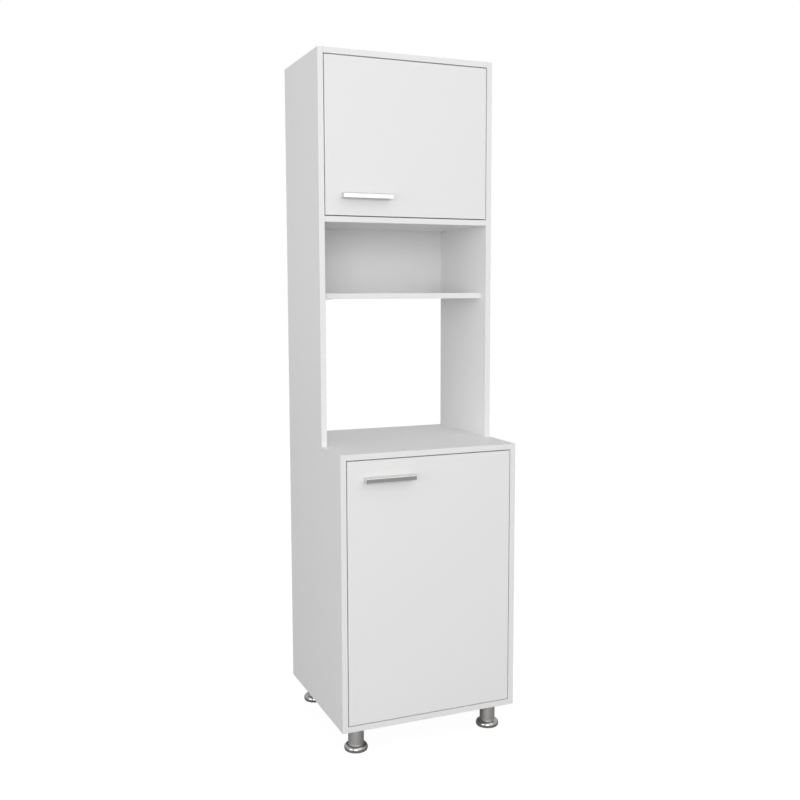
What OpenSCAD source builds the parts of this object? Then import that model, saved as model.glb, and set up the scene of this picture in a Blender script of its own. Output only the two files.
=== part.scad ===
// Tall free-standing kitchen cabinet for a microwave oven: a closed cupboard at the top, an open
// niche, an open-backed oven bay over a deeper worktop, and a closed cupboard at the bottom.
// Both doors lie inside the frame and hang on concealed cup hinges at the right.
// Millimetres. Front faces -Y, +X is the viewer's right, Z is up from the floor.

/* [Case] */
// Overall width across the two side panels
case_w = 500; // [400:10:700]
// Height of the side panels
case_h = 1760; // [1450:10:2150]
// Depth of the side panels below the worktop
lower_depth = 447; // [370:1:540]
// Depth of the side panels above the worktop
upper_depth = 297; // [245:1:360]
// Thickness of the boards and doors
board_t = 15; // [15:1:19]
// Thickness of the fibreboard backs
back_t = 3; // [3:1:6]
// Height of the worktop's upper face over the lower edge of the case
worktop_top = 730; // [600:5:880]
// Clear height of the upper cupboard
upper_clear_h = 410; // [300:5:500]
// Clear height of the niche
niche_clear_h = 185; // [150:5:300]
// How far the niche shelf stands back from the front edges
niche_shelf_recess = 33; // [0:1:60]
// Bevel on the front edges of boards and doors
edge_ease = 0.6; // [0.3:0.1:1.2]
// How far the backs stay inside the outline of the case
back_margin = 2; // [1:1:5]

/* [Inner shelves] */
// Height of the upper cupboard's loose shelf over the cupboard's floor
upper_shelf_rise = 190; // [130:1:220]
// Height of the lower cupboard's loose shelf over the cupboard's floor
lower_shelf_rise = 335; // [250:1:400]
// Play of a loose shelf at each end
shelf_play = 1; // [0.5:0.5:3]
// Clear depth between a closed door and a loose shelf
shelf_setback = 25; // [18:1:60]
// Diameter of the shelf pins and their holes
pin_d = 5; // [4:0.5:6]
// Pitch of the rows of pin holes
pin_pitch = 32; // [25:1:32]
// Number of holes in a row
pin_holes = 5; // [1:2:5]
// Distance of each row of pin holes from the shelf's front and back edges
pin_inset = 40; // [30:1:60]

/* [Doors] */
// Gap all round a door
door_gap = 2.5; // [1.5:0.5:3]
// Distance of a handle's centre line from the door's short edge
handle_rise = 50; // [35:1:80]
// Distance of a handle's middle from the door's free edge
handle_reach = 113; // [85:1:150]

/* [Handles] */
// Distance between the handle's two screws
handle_pitch = 128; // [96:32:160]
// Width of the handle's solid ends, which take the screws
post_w = 10; // [8:1:14]
// Height of the handle
grip_h = 13; // [10:1:16]
// Thickness of the handle's upper plate and of its front lip
grip_t = 2.5; // [2:0.5:4]
// How far the middle of the handle's height is above its screws
grip_lift = 1.5; // [0:0.5:2]
// How far the handle stands out from the door
handle_out = 22; // [20:1:35]
// Radius along the handle's upper front edge
grip_round = 3.5; // [2:0.5:5]
// Diameter of the handle screws
handle_screw_d = 4; // [3:0.5:5]

/* [Hinges] */
// Distance of the hinges from the ends of the upper door
upper_hinge_inset = 75; // [60:1:110]
// Distance of the hinges from the ends of the lower door
lower_hinge_inset = 100; // [60:1:140]
// Outer diameter of the hinge cup
cup_d = 35; // [34:0.5:36]
// Depth of the hinge cup in the door
cup_depth = 11.5; // [11:0.5:12.5]
// Wall of the hinge cup
cup_wall = 1.3; // [1:0.1:1.6]
// Wood left between the hinge cup and the door's edge
cup_edge = 4.5; // [3:0.5:6]
// Distance of the mounting plate's screws behind the closed door
plate_behind_door = 37; // [37:1:40]
// Distance between the mounting plate's two screws
plate_pitch = 32; // [28:1:32]
// Distance between the cup flange's two screws
flange_pitch = 48; // [45:1:52]
// Diameter of the hinge pins
hinge_pin_d = 2.5; // [2:0.1:2.8]

/* [Legs] */
// Clear height of the case over the floor
leg_h = 70; // [60:1:120]
// Outer diameter of the leg tube
leg_tube_d = 42; // [36:1:50]
// Wall of the leg tube
leg_wall = 1.5; // [1:0.1:2]
// Diameter of the foot
foot_d = 63; // [56:1:75]
// Height of the foot
foot_h = 16.5; // [14:0.5:26]
// Distance of the legs from the outer faces of the side panels
leg_inset_x = 54; // [45:1:80]
// Distance of the front legs from the front
leg_inset_front = 50; // [45:1:90]
// Distance of the back legs from the back edge of the side panels
leg_inset_back = 40; // [40:1:90]
// Diameter of the mounting flange
leg_flange_d = 70; // [64:1:76]
// Diameter of the foot's threaded stem
stem_d = 10; // [8:1:12]

/* [Connectors] */
// Diameter of the cam housings
cam_d = 15; // [12:1:15]
// Depth of the cam housings
cam_depth = 12; // [10:0.5:12]
// Distance of a cam's centre from the board's end
cam_reach = 34; // [24:1:34]
// Distance of the cams from the front and back edges of the boards above the worktop
upper_cam_inset = 37; // [30:1:50]
// Distance of the cams from the front and back edges of the worktop and bottom, clear of the legs
lower_cam_inset = 100; // [95:1:120]
// Diameter of the wooden dowels
dowel_d = 8; // [6:1:8]
// Length of the wooden dowels
dowel_len = 30; // [25:1:35]
// Distance between a cam bolt and the dowel beside it
dowel_step = 32; // [25:1:40]

/* [Hidden] */
$fn = 48;

// Colours
board_white = [0.93, 0.93, 0.92];
back_white = [0.86, 0.86, 0.85];
nickel = [0.62, 0.62, 0.62];
steel = [0.7, 0.7, 0.72];
beech = [0.83, 0.68, 0.48];
zinc = [0.58, 0.58, 0.6];
grey_nylon = [0.35, 0.35, 0.36];

// Margin by which a cutting shape passes the face that it cuts
over = 0.5;

// The case
inner_w = case_w - 2 * board_t;
setback = lower_depth - upper_depth;
y_mid = (lower_depth + back_t - handle_out) / 2;
upper_floor_top = case_h - board_t - upper_clear_h;
bay_ceiling = upper_floor_top - 2 * board_t - niche_clear_h;
lower_clear_h = worktop_top - 2 * board_t;

// Boards between the sides: lower face, front edge, depth, cam inset, and the face that the cams
// open to, 1 for the upper one and -1 for the lower one
BOTTOM = [0, 0, lower_depth, lower_cam_inset, 1];
WORKTOP = [worktop_top - board_t, 0, lower_depth, lower_cam_inset, -1];
NICHE_SHELF = [bay_ceiling, setback + niche_shelf_recess, upper_depth - niche_shelf_recess,
               upper_cam_inset, -1];
UPPER_FLOOR = [upper_floor_top - board_t, setback, upper_depth, upper_cam_inset, 1];
TOP = [case_h - board_t, setback, upper_depth, upper_cam_inset, -1];
FIXED_BOARDS = [BOTTOM, WORKTOP, NICHE_SHELF, UPPER_FLOOR, TOP];

// Loose shelves: lower face, front edge, depth
UPPER_SHELF = [upper_floor_top + upper_shelf_rise, setback + board_t + shelf_setback,
               upper_depth - board_t - shelf_setback - shelf_play];
LOWER_SHELF = [board_t + lower_shelf_rise, board_t + shelf_setback,
               lower_depth - board_t - shelf_setback - shelf_play];
LOOSE_SHELVES = [UPPER_SHELF, LOWER_SHELF];
// Shelf pins: how deep they sit in the side, and the spoon that the shelf lies on
pin_depth = 8;
pin_bore_depth = 9;
spoon_len = 9;
spoon_w = 9;
spoon_t = 1.6;

// Doors: front plane, lower edge, height
door_w = inner_w - 2 * door_gap;
UPPER_DOOR = [setback, upper_floor_top + door_gap, upper_clear_h - 2 * door_gap];
LOWER_DOOR = [0, board_t + door_gap, lower_clear_h - 2 * door_gap];
upper_handle_z = UPPER_DOOR[1] + handle_rise;
lower_handle_z = LOWER_DOOR[1] + LOWER_DOOR[2] - handle_rise;
handle_x = -door_w / 2 + handle_reach;
handle_len = handle_pitch + post_w;
upper_hinge_z = [UPPER_DOOR[1] + upper_hinge_inset,
                 UPPER_DOOR[1] + UPPER_DOOR[2] - upper_hinge_inset];
lower_hinge_z = [LOWER_DOOR[1] + lower_hinge_inset,
                 LOWER_DOOR[1] + LOWER_DOOR[2] - lower_hinge_inset];

// Hinge pins, in a frame with X from the side panel's inner face and Y from the door's rear face.
// The swing link joins arm_pin_a to cup_pin_a, and the guide link joins arm_pin_b to cup_pin_b.
arm_pin_a = [-23.3, -6.3];
arm_pin_b = [-29.7, -7.3];
cup_pin_a = [-12.5, -7.9];
cup_pin_b = [-18.8, -6.3];
// Half-heights of the layers that lie side by side along the pins
tongue_half = 2.5;
swing_half = 4.6;
guide_inner = 4.9;
guide_half = 6.9;
layer_play = 0.1;
link_eye_r = 2.3;
eye_step = 0.3;
pin_play = 0.05;
guide_eye_play = 0.25;
cup_from_side = door_gap + cup_edge + cup_d / 2;
cup_bore_d = cup_d - 2 * cup_wall;
cup_floor_t = 1;
flange_t = 1;
flange_rim = 1.5;
flange_ear_r = 5;
flange_ear_step = 6;
flange_screw_d = 3.5;
flange_screw_len = 9;
flange_head_d = 6.5;
flange_head_h = 1.4;
// Play of the neck's eye in the swing link's fork
fork_play = 1;
guide_boss_r = 2;
// The arm's neck, from the eyes at its nose to its body beside the mounting plate
neck_eye_r = 2.8;
neck_path = [[-34.5, -2], [-35.5, 15], [-30, 26], [-13, 31]];
arm_w = 14;
arm_top = -15;
arm_start = 27;
arm_end = 60;
arm_wall = 1.5;
// The mounting plate
plate_len = 34;
plate_wing = 11;
plate_t = 2.5;
plate_rail_w = arm_w - 2 * arm_wall - 2 * layer_play;
plate_rail_h = 8;
euro_screw_d = 5;
euro_screw_len = 11;
euro_head_d = 8;
euro_head_h = 1.8;
adjust_screw_d = 4;
adjust_head_d = 7;
adjust_head_h = 1.4;
// Distances of the arm's two screws behind the door's rear face
adjust_screw_ys = [42, 54];

// Screws: how far their ends stay short of the holes, and the cross in their heads
screw_end_play = 0.5;
machine_taper = 0.5;
wood_taper = 3;
blunt_r = 0.2;
cross_len = 4;
cross_w = 0.9;
cross_depth = 1;

// Handle screws
handle_thread_len = 9;
screw_hole_play = 0.25;
pan_head_d = 8;
pan_head_h = 2.2;

// Legs
leg_places = [
    [-case_w / 2 + leg_inset_x, leg_inset_front],
    [case_w / 2 - leg_inset_x, leg_inset_front],
    [-case_w / 2 + leg_inset_x, lower_depth - leg_inset_back],
    [case_w / 2 - leg_inset_x, lower_depth - leg_inset_back]
];
flange_plate_t = 2.5;
leg_spigot_h = 8;
leg_screw_ring = (leg_tube_d + leg_flange_d) / 4;
leg_screw_d = 3.5;
leg_screw_len = 12;
leg_head_d = 6.8;
leg_head_h = 1.6;
insert_h = 14;
insert_recess = 1;
stem_play = 0.05;
stem_len = 40;
stem_bevel = 1;
stem_root = 6;
foot_round = (foot_d - leg_tube_d) / 2;
foot_rim_t = 0.5;
foot_tuck = 1.7;

// Cam fittings
cam_bolt_grip = 11;
cam_bolt_d = 5;
bolt_bore_d = 7;
bolt_shank_d = 4.5;
bolt_head_d = 6.2;
bolt_head_len = 3.5;
bolt_collar_t = 1.2;
bolt_tip = cam_reach - 0.5;
// Width of the slot in a cam, and how far it runs past the cam's centre
cam_slot_w = 7;
cam_slot_past = 1.5;
cam_cross_len = 8;
cam_cross_w = 1.5;
cam_cross_depth = 1.8;
dowel_in_side = 11;
cap_overlap = 1.5;
cap_t = 1.2;
cap_bevel = 0.6;

// Puts what is drawn from the case's lower front edge into the cabinet's own frame
module place() {
    translate([0, -y_mid, leg_h]) children();
}

// A slab from the origin to size, its front edges eased: the upright ones, the level ones or both
module eased_slab(size, upright = true, level = true) {
    e_up = upright ? edge_ease : 0;
    e_lv = level ? edge_ease : 0;
    intersection() {
        linear_extrude(size[2])
            polygon([[e_up, 0], [size[0] - e_up, 0], [size[0], e_up],
                     [size[0], size[1]], [0, size[1]], [0, e_up]]);
        rotate([90, 0, 90])
            linear_extrude(size[0])
                polygon([[0, e_lv], [e_lv, 0], [size[1], 0],
                         [size[1], size[2]], [e_lv, size[2]], [0, size[2] - e_lv]]);
    }
}

// A round bar along X, from x = from to x = to
module rod_x(from, to, d) {
    translate([from, 0, 0]) rotate([0, 90, 0]) cylinder(d = d, h = to - from);
}

// A round bar along Y, from y = from to y = to
module rod_y(from, to, d) {
    translate([0, to, 0]) rotate([90, 0, 0]) cylinder(d = d, h = to - from);
}

// A cross sunk into a face at z = 0
module cross_recess(length, width, depth) {
    for (turn = [0, 90])
        rotate([0, 0, turn])
            translate([-length / 2, -width / 2, -depth]) cube([length, width, depth + over]);
}

// A screw along Z, with a cross in a head that stands on z = 0 and a shank down to z = -length
module screw(length, d, head_d, head_h, taper = machine_taper) {
    difference() {
        rotate_extrude()
            polygon([[0, -length], [max(d / 2 - taper, blunt_r), -length],
                     [d / 2, taper - length], [d / 2, 0], [head_d / 2, 0],
                     [head_d / 2, head_h / 2], [head_d / 2 - head_h / 2, head_h], [0, head_h]]);
        translate([0, 0, head_h]) cross_recess(cross_len, cross_w, cross_depth);
    }
}

// Connectors ------------------------------------------------------------------------------------

// Distances behind its front edge at which a board has its cams
function cam_rows(board) = [board[3], board[2] - board[3]];
// The same for its dowels, which stand inside the cams
function dowel_rows(board) = [board[3] + dowel_step, board[2] - board[3] - dowel_step];

// Puts its child at every cam or dowel of a fixed board, with X into the board from its end
module at_board_ends(board, rows) {
    for (side = [-1, 1], y = rows)
        translate([side * inner_w / 2, board[1] + y, board[0] + board_t / 2])
            rotate([0, 0, side > 0 ? 180 : 0]) children();
}

// Turns a cam's child so that +Z points out of the face that the cams open to
module at_cam_face(board) {
    translate([cam_reach, 0, 0])
        mirror([0, 0, board[4] < 0 ? 1 : 0])
            translate([0, 0, board_t / 2]) children();
}

// What is drilled out of the ends of a fixed board
module board_end_bores(board) {
    at_board_ends(board, cam_rows(board)) {
        rod_x(-over, cam_reach, bolt_bore_d);
        at_cam_face(board)
            translate([0, 0, -cam_depth]) cylinder(d = cam_d, h = cam_depth + over);
    }
    at_board_ends(board, dowel_rows(board))
        rod_x(-over, dowel_len - dowel_in_side + over, dowel_d);
}

// What is drilled into the inner faces of the sides for one fixed board
module side_bores(board) {
    at_board_ends(board, cam_rows(board)) rod_x(-cam_bolt_grip, over, cam_bolt_d);
    at_board_ends(board, dowel_rows(board)) rod_x(-dowel_in_side - over, over, dowel_d);
}

// A turned housing with a slot for the bolt's head and a cross for the screwdriver
module cam_lock(board) {
    at_cam_face(board)
        difference() {
            translate([0, 0, -cam_depth]) cylinder(d = cam_d, h = cam_depth);
            translate([0, 0, -board_t / 2]) rod_x(-cam_d, cam_slot_past, cam_slot_w);
            cross_recess(cam_cross_len, cam_cross_w, cam_cross_depth);
        }
}

// A bolt with its thread in the side panel and its head in the cam
module cam_bolt() {
    rod_x(-cam_bolt_grip, 0, cam_bolt_d);
    rod_x(0, bolt_collar_t, bolt_head_d);
    rod_x(bolt_collar_t, bolt_tip - bolt_head_len, bolt_shank_d);
    rod_x(bolt_tip - bolt_head_len, bolt_tip, bolt_head_d);
}

module cam_locks() {
    color(zinc) place()
        for (board = FIXED_BOARDS) at_board_ends(board, cam_rows(board)) cam_lock(board);
}

module cam_bolts() {
    color(steel) place()
        for (board = FIXED_BOARDS) at_board_ends(board, cam_rows(board)) cam_bolt();
}

module dowels() {
    color(beech) place()
        for (board = FIXED_BOARDS)
            at_board_ends(board, dowel_rows(board))
                rod_x(-dowel_in_side, dowel_len - dowel_in_side, dowel_d);
}

// Caps over the cams that can be seen, under the niche shelf
module cam_caps() {
    cap_r = cam_d / 2 + cap_overlap;
    color(board_white) place()
        at_board_ends(NICHE_SHELF, cam_rows(NICHE_SHELF))
            at_cam_face(NICHE_SHELF)
                rotate_extrude()
                    polygon([[0, 0], [cap_r, 0], [cap_r, cap_t - cap_bevel],
                             [cap_r - cap_bevel, cap_t], [0, cap_t]]);
}

// Case boards -----------------------------------------------------------------------------------

// A board between the sides, flush with its own front edge
module fixed_board(board) {
    difference() {
        translate([-inner_w / 2, board[1], board[0]])
            eased_slab([inner_w, board[2], board_t], upright = false);
        board_end_bores(board);
    }
}

module top_panel() { color(board_white) place() fixed_board(TOP); }
module upper_floor_panel() { color(board_white) place() fixed_board(UPPER_FLOOR); }
module niche_shelf() { color(board_white) place() fixed_board(NICHE_SHELF); }
module worktop() { color(board_white) place() fixed_board(WORKTOP); }

module bottom_panel() {
    color(board_white) place()
        difference() {
            fixed_board(BOTTOM);
            at_leg_screws() cylinder(d = leg_screw_d, h = leg_screw_len);
        }
}

// One L-shaped side: deep below the worktop, set back above it
module side_outline() {
    translate([-board_t / 2, 0, 0]) eased_slab([board_t, lower_depth, worktop_top]);
    translate([-board_t / 2, setback, worktop_top - edge_ease])
        eased_slab([board_t, upper_depth, case_h - worktop_top + edge_ease]);
}

module side_panel(side) {
    difference() {
        translate([side * (inner_w + board_t) / 2, 0, 0]) side_outline();
        for (board = FIXED_BOARDS) side_bores(board);
        for (shelf = LOOSE_SHELVES) pin_bores(shelf);
    }
}

module left_side_panel() { color(board_white) place() side_panel(-1); }

module right_side_panel() {
    color(board_white) place()
        difference() {
            side_panel(1);
            at_hinges(UPPER_DOOR[0], upper_hinge_z) plate_bores();
            at_hinges(LOWER_DOOR[0], lower_hinge_z) plate_bores();
        }
}

// A back nailed over the rear edges, from z = low to z = high
module back_panel(low, high) {
    translate([-case_w / 2 + back_margin, lower_depth, low])
        cube([case_w - 2 * back_margin, back_t, high - low]);
}

module upper_back_panel() {
    color(back_white) place() back_panel(bay_ceiling, case_h - back_margin);
}

module lower_back_panel() {
    color(back_white) place() back_panel(back_margin, worktop_top - back_margin);
}

// Loose shelves ---------------------------------------------------------------------------------

module loose_shelf(shelf) {
    width = inner_w - 2 * shelf_play;
    translate([-width / 2, shelf[1], shelf[0]])
        eased_slab([width, shelf[2], board_t], upright = false);
}

// Puts its child at the four pins of a loose shelf, with X out of the side panel
module at_shelf_pins(shelf) {
    for (side = [-1, 1], y = [pin_inset, shelf[2] - pin_inset])
        translate([side * inner_w / 2, shelf[1] + y, shelf[0] - pin_d / 2])
            rotate([0, 0, side > 0 ? 180 : 0]) children();
}

// Rows of holes, so that the shelf can be moved up and down
module pin_bores(shelf) {
    half = (pin_holes - 1) / 2;
    at_shelf_pins(shelf)
        for (step = [-half : half])
            translate([0, 0, step * pin_pitch]) rod_x(-pin_bore_depth, over, pin_d);
}

// A pin with a flat spoon that the shelf lies on
module shelf_pin() {
    rod_x(-pin_depth, spoon_len / 2, pin_d);
    intersection() {
        translate([0, -spoon_w / 2, pin_d / 2 - spoon_t]) cube([spoon_len, spoon_w, spoon_t]);
        translate([spoon_len - spoon_w, 0, 0]) cylinder(d = 2 * spoon_w, h = pin_d / 2);
    }
}

module upper_inner_shelf() { color(board_white) place() loose_shelf(UPPER_SHELF); }
module lower_inner_shelf() { color(board_white) place() loose_shelf(LOWER_SHELF); }

module shelf_pins() {
    color(nickel) place()
        for (shelf = LOOSE_SHELVES) at_shelf_pins(shelf) shelf_pin();
}

// Doors -----------------------------------------------------------------------------------------

module door(front, low, height, handle_z, hinge_z) {
    difference() {
        translate([-door_w / 2, front, low]) eased_slab([door_w, board_t, height]);
        at_handle_screws(front, handle_z)
            rod_y(-over, board_t + over, handle_screw_d + 2 * screw_hole_play);
        at_hinges(front, hinge_z) {
            cup_bore();
            at_flange_screws() rod_y(-flange_screw_len, over, flange_screw_d);
        }
    }
}

module upper_door() {
    color(board_white) place()
        door(UPPER_DOOR[0], UPPER_DOOR[1], UPPER_DOOR[2], upper_handle_z, upper_hinge_z);
}

module lower_door() {
    color(board_white) place()
        door(LOWER_DOOR[0], LOWER_DOOR[1], LOWER_DOOR[2], lower_handle_z, lower_hinge_z);
}

// Handles ---------------------------------------------------------------------------------------

module at_handle_screws(front, handle_z) {
    for (side = [-1, 1])
        translate([handle_x + side * handle_pitch / 2, front, handle_z]) children();
}

// What is cut from an upper left corner at the origin to round it
module corner_cut(r) {
    translate([0, -r])
        difference() {
            translate([-over, 0]) square(r + over);
            translate([r, 0]) circle(r = r);
        }
}

// The handle's outline from its end, with the front at the left: Y is up, and the door is at X = 0
module handle_profile() {
    difference() {
        translate([-handle_out, -grip_h / 2]) square([handle_out, grip_h]);
        translate([-handle_out, grip_h / 2]) corner_cut(grip_round);
    }
}

// The same view of the hollow for the fingers, open to the door and below
module hollow_profile() {
    difference() {
        translate([grip_t - handle_out, -grip_h / 2 - over])
            square([handle_out, grip_h - grip_t + over]);
        translate([grip_t - handle_out, grip_h / 2 - grip_t])
            corner_cut(max(grip_round - grip_t, blunt_r));
    }
}

// A shell handle: a plate out from the door, turned down at the front, with solid ends
module handle(front, handle_z) {
    difference() {
        translate([handle_x - handle_len / 2, front, handle_z + grip_lift])
            rotate([90, 0, 90])
                difference() {
                    linear_extrude(handle_len) handle_profile();
                    translate([0, 0, post_w])
                        linear_extrude(handle_len - 2 * post_w) hollow_profile();
                }
        at_handle_screws(front, handle_z) rod_y(-handle_thread_len, over, handle_screw_d);
    }
}

module handle_screws(front, handle_z) {
    at_handle_screws(front, handle_z)
        translate([0, board_t, 0])
            rotate([-90, 0, 0])
                screw(board_t + handle_thread_len - screw_end_play, handle_screw_d,
                      pan_head_d, pan_head_h);
}

module upper_handle() { color(nickel) place() handle(UPPER_DOOR[0], upper_handle_z); }
module lower_handle() { color(nickel) place() handle(LOWER_DOOR[0], lower_handle_z); }

module upper_handle_screws() {
    color(steel) place() handle_screws(UPPER_DOOR[0], upper_handle_z);
}

module lower_handle_screws() {
    color(steel) place() handle_screws(LOWER_DOOR[0], lower_handle_z);
}

// Concealed cup hinges --------------------------------------------------------------------------

// Puts its child at each hinge of a door: X from the side panel, Y from the door's rear face
module at_hinges(front, hinge_z) {
    for (z = hinge_z) translate([inner_w / 2, front + board_t, z]) children();
}

// A pin through a hinge at a place in plan, from z = -half to z = half
module hinge_pin(at, half, d = hinge_pin_d) {
    translate([at[0], at[1], -half]) cylinder(d = d, h = 2 * half);
}

// A flat link between two places in plan: a round eye at each, and a narrower web
module link(p, q, r, low, high) {
    translate([0, 0, low])
        linear_extrude(high - low) {
            for (at = [p, q]) translate(at) circle(r = r);
            polygon(strip([p, q], r - eye_step));
        }
}

// Outline of a strip of half-width w along a path in plan, mitred at the bends
function unit(v) = v / norm(v);
function left_of(v) = [-v[1], v[0]];
function mitred(path, i, w) =
    let (before = unit(path[max(i, 1)] - path[max(i - 1, 0)]),
         after = unit(path[min(i + 1, len(path) - 1)] - path[min(i, len(path) - 2)]),
         across = unit(left_of(before + after)))
    path[i] + across * w / (across * left_of(before));
function strip(path, w) =
    concat([for (i = [0 : len(path) - 1]) mitred(path, i, w)],
           [for (i = [len(path) - 1 : -1 : 0]) mitred(path, i, -w)]);

module cup_bore() {
    translate([-cup_from_side, 0, 0]) rod_y(-cup_depth, over, cup_d);
}

module at_flange_screws() {
    for (side = [-1, 1])
        translate([-cup_from_side - flange_ear_step, 0, side * flange_pitch / 2]) children();
}

// A pressed cup with a rim and two screw ears that lie on the door's rear face
module hinge_cup() {
    difference() {
        union() {
            translate([-cup_from_side, 0, 0]) {
                rod_y(-cup_depth, flange_t, cup_d);
                rod_y(0, flange_t, cup_d + 2 * flange_rim);
            }
            translate([-cup_from_side - flange_ear_step - flange_ear_r, 0, -flange_pitch / 2])
                cube([2 * flange_ear_r, flange_t, flange_pitch]);
            at_flange_screws() rod_y(0, flange_t, 2 * flange_ear_r);
        }
        translate([-cup_from_side, 0, 0])
            rod_y(-cup_depth + cup_floor_t, flange_t + over, cup_bore_d);
        at_flange_screws() rod_y(-over, flange_t + over, flange_screw_d);
        hinge_pin(cup_pin_a, cup_pin_half(cup_pin_a));
        hinge_pin(cup_pin_b, cup_pin_half(cup_pin_b));
    }
}

// Half-length of a pin that reaches half-way into the cup's wall
function cup_pin_half(at) =
    sqrt(pow((cup_bore_d + cup_wall) / 2, 2)
         - pow(abs(at[0] + cup_from_side) + hinge_pin_d / 2, 2));

// The swing link's pin runs right across; the guide link's pin is a stub at each side
module cup_pins() {
    hinge_pin(cup_pin_a, cup_pin_half(cup_pin_a));
    for (side = [-1, 1])
        mirror([0, 0, side < 0 ? 1 : 0])
            translate([cup_pin_b[0], cup_pin_b[1], swing_half + layer_play])
                cylinder(d = hinge_pin_d,
                         h = cup_pin_half(cup_pin_b) - swing_half - layer_play);
}

// A fork that carries the door: it holds the arm's tongue and turns on the cup's long pin
module swing_link() {
    difference() {
        link(arm_pin_a, cup_pin_a, link_eye_r, -swing_half, swing_half);
        hinge_pin(arm_pin_a, tongue_half + layer_play, 2 * (neck_eye_r + fork_play));
        hinge_pin(arm_pin_a, swing_half + over, hinge_pin_d + 2 * pin_play);
        hinge_pin(cup_pin_a, swing_half + over, hinge_pin_d + 2 * pin_play);
    }
}

// Two plates outside the fork, with bosses that reach in to the arm's tongue
module guide_links() {
    for (side = [-1, 1])
        mirror([0, 0, side < 0 ? 1 : 0])
            difference() {
                union() {
                    link(arm_pin_b, cup_pin_b, link_eye_r, guide_inner, guide_half);
                    translate([arm_pin_b[0], arm_pin_b[1], tongue_half + layer_play])
                        cylinder(r = guide_boss_r, h = guide_inner - tongue_half);
                }
                hinge_pin(arm_pin_b, guide_half + over, hinge_pin_d + 2 * pin_play);
                hinge_pin(cup_pin_b, guide_half + over, hinge_pin_d + 2 * guide_eye_play);
            }
}

// A cranked arm: a narrow neck that reaches round the door's edge into the cup, and a channel
// that sits over the mounting plate's rail
module hinge_arm() {
    difference() {
        union() {
            translate([0, 0, -tongue_half])
                linear_extrude(2 * tongue_half) {
                    for (at = [arm_pin_a, arm_pin_b]) translate(at) circle(r = neck_eye_r);
                    polygon(strip(concat([arm_pin_a, arm_pin_b], neck_path),
                                  neck_eye_r - eye_step));
                }
            translate([arm_top, arm_start, -arm_w / 2])
                cube([-arm_top - plate_t - layer_play, arm_end - arm_start, arm_w]);
        }
        translate([arm_top + arm_wall, arm_start + arm_wall, -arm_w / 2 + arm_wall])
            cube([-arm_top, arm_end, arm_w - 2 * arm_wall]);
        for (at = [arm_pin_a, arm_pin_b]) hinge_pin(at, tongue_half + over);
        for (y = adjust_screw_ys)
            translate([0, y, 0]) rod_x(arm_top - over, arm_top + arm_wall + over, adjust_screw_d);
    }
}

module arm_pins() {
    hinge_pin(arm_pin_a, swing_half);
    hinge_pin(arm_pin_b, guide_half);
}

// Puts its child at a mounting plate's two screws
module at_plate_screws() {
    for (side = [-1, 1])
        translate([0, plate_behind_door, side * plate_pitch / 2]) children();
}

module plate_bores() {
    at_plate_screws() rod_x(-over, euro_screw_len, euro_screw_d);
}

// A base with two round wings, and a rail for the arm
module hinge_plate() {
    difference() {
        union() {
            translate([-plate_t, plate_behind_door - plate_wing / 2, -plate_pitch / 2])
                cube([plate_t, plate_wing, plate_pitch]);
            at_plate_screws() rod_x(-plate_t, 0, plate_wing);
            translate([-plate_t, arm_start, -arm_w / 2])
                cube([plate_t, plate_len, arm_w]);
            translate([-plate_rail_h, arm_start + 2 * arm_wall, -plate_rail_w / 2])
                cube([plate_rail_h, plate_len - 2 * arm_wall, plate_rail_w]);
        }
        at_plate_screws() rod_x(-plate_t - over, over, euro_screw_d);
        for (y = adjust_screw_ys)
            translate([0, y, 0]) rod_x(-plate_rail_h - over, -plate_t, adjust_screw_d);
    }
}

// A screw into the side panel
module plate_screw() {
    translate([-plate_t, 0, 0])
        rotate([0, -90, 0])
            screw(plate_t + euro_screw_len - screw_end_play, euro_screw_d,
                  euro_head_d, euro_head_h);
}

// A short screw from the arm's back into the rail
module arm_screw() {
    translate([arm_top, 0, 0])
        rotate([0, -90, 0])
            screw(-arm_top - plate_t - screw_end_play, adjust_screw_d,
                  adjust_head_d, adjust_head_h);
}

// The two screws of a cup's flange
module cup_screws() {
    at_flange_screws()
        translate([0, flange_t, 0])
            rotate([-90, 0, 0])
                screw(flange_t + flange_screw_len - screw_end_play, flange_screw_d,
                      flange_head_d, flange_head_h, wood_taper);
}

module upper_hinge_cups() { color(nickel) place() at_upper_hinges() hinge_cup(); }
module upper_hinge_cup_pins() { color(steel) place() at_upper_hinges() cup_pins(); }
module upper_hinge_cup_screws() { color(steel) place() at_upper_hinges() cup_screws(); }
module upper_hinge_swing_links() { color(steel) place() at_upper_hinges() swing_link(); }
module upper_hinge_guide_links() { color(steel) place() at_upper_hinges() guide_links(); }
module upper_hinge_arms() { color(nickel) place() at_upper_hinges() hinge_arm(); }
module upper_hinge_arm_pins() { color(steel) place() at_upper_hinges() arm_pins(); }
module upper_hinge_plates() { color(nickel) place() at_upper_hinges() hinge_plate(); }

module upper_hinge_plate_screws() {
    color(steel) place() at_upper_hinges() at_plate_screws() plate_screw();
}

module upper_hinge_arm_screws() {
    color(steel) place() at_upper_hinges() at_arm_screws() arm_screw();
}

module lower_hinge_cups() { color(nickel) place() at_lower_hinges() hinge_cup(); }
module lower_hinge_cup_pins() { color(steel) place() at_lower_hinges() cup_pins(); }
module lower_hinge_cup_screws() { color(steel) place() at_lower_hinges() cup_screws(); }
module lower_hinge_swing_links() { color(steel) place() at_lower_hinges() swing_link(); }
module lower_hinge_guide_links() { color(steel) place() at_lower_hinges() guide_links(); }
module lower_hinge_arms() { color(nickel) place() at_lower_hinges() hinge_arm(); }
module lower_hinge_arm_pins() { color(steel) place() at_lower_hinges() arm_pins(); }
module lower_hinge_plates() { color(nickel) place() at_lower_hinges() hinge_plate(); }

module lower_hinge_plate_screws() {
    color(steel) place() at_lower_hinges() at_plate_screws() plate_screw();
}

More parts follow.
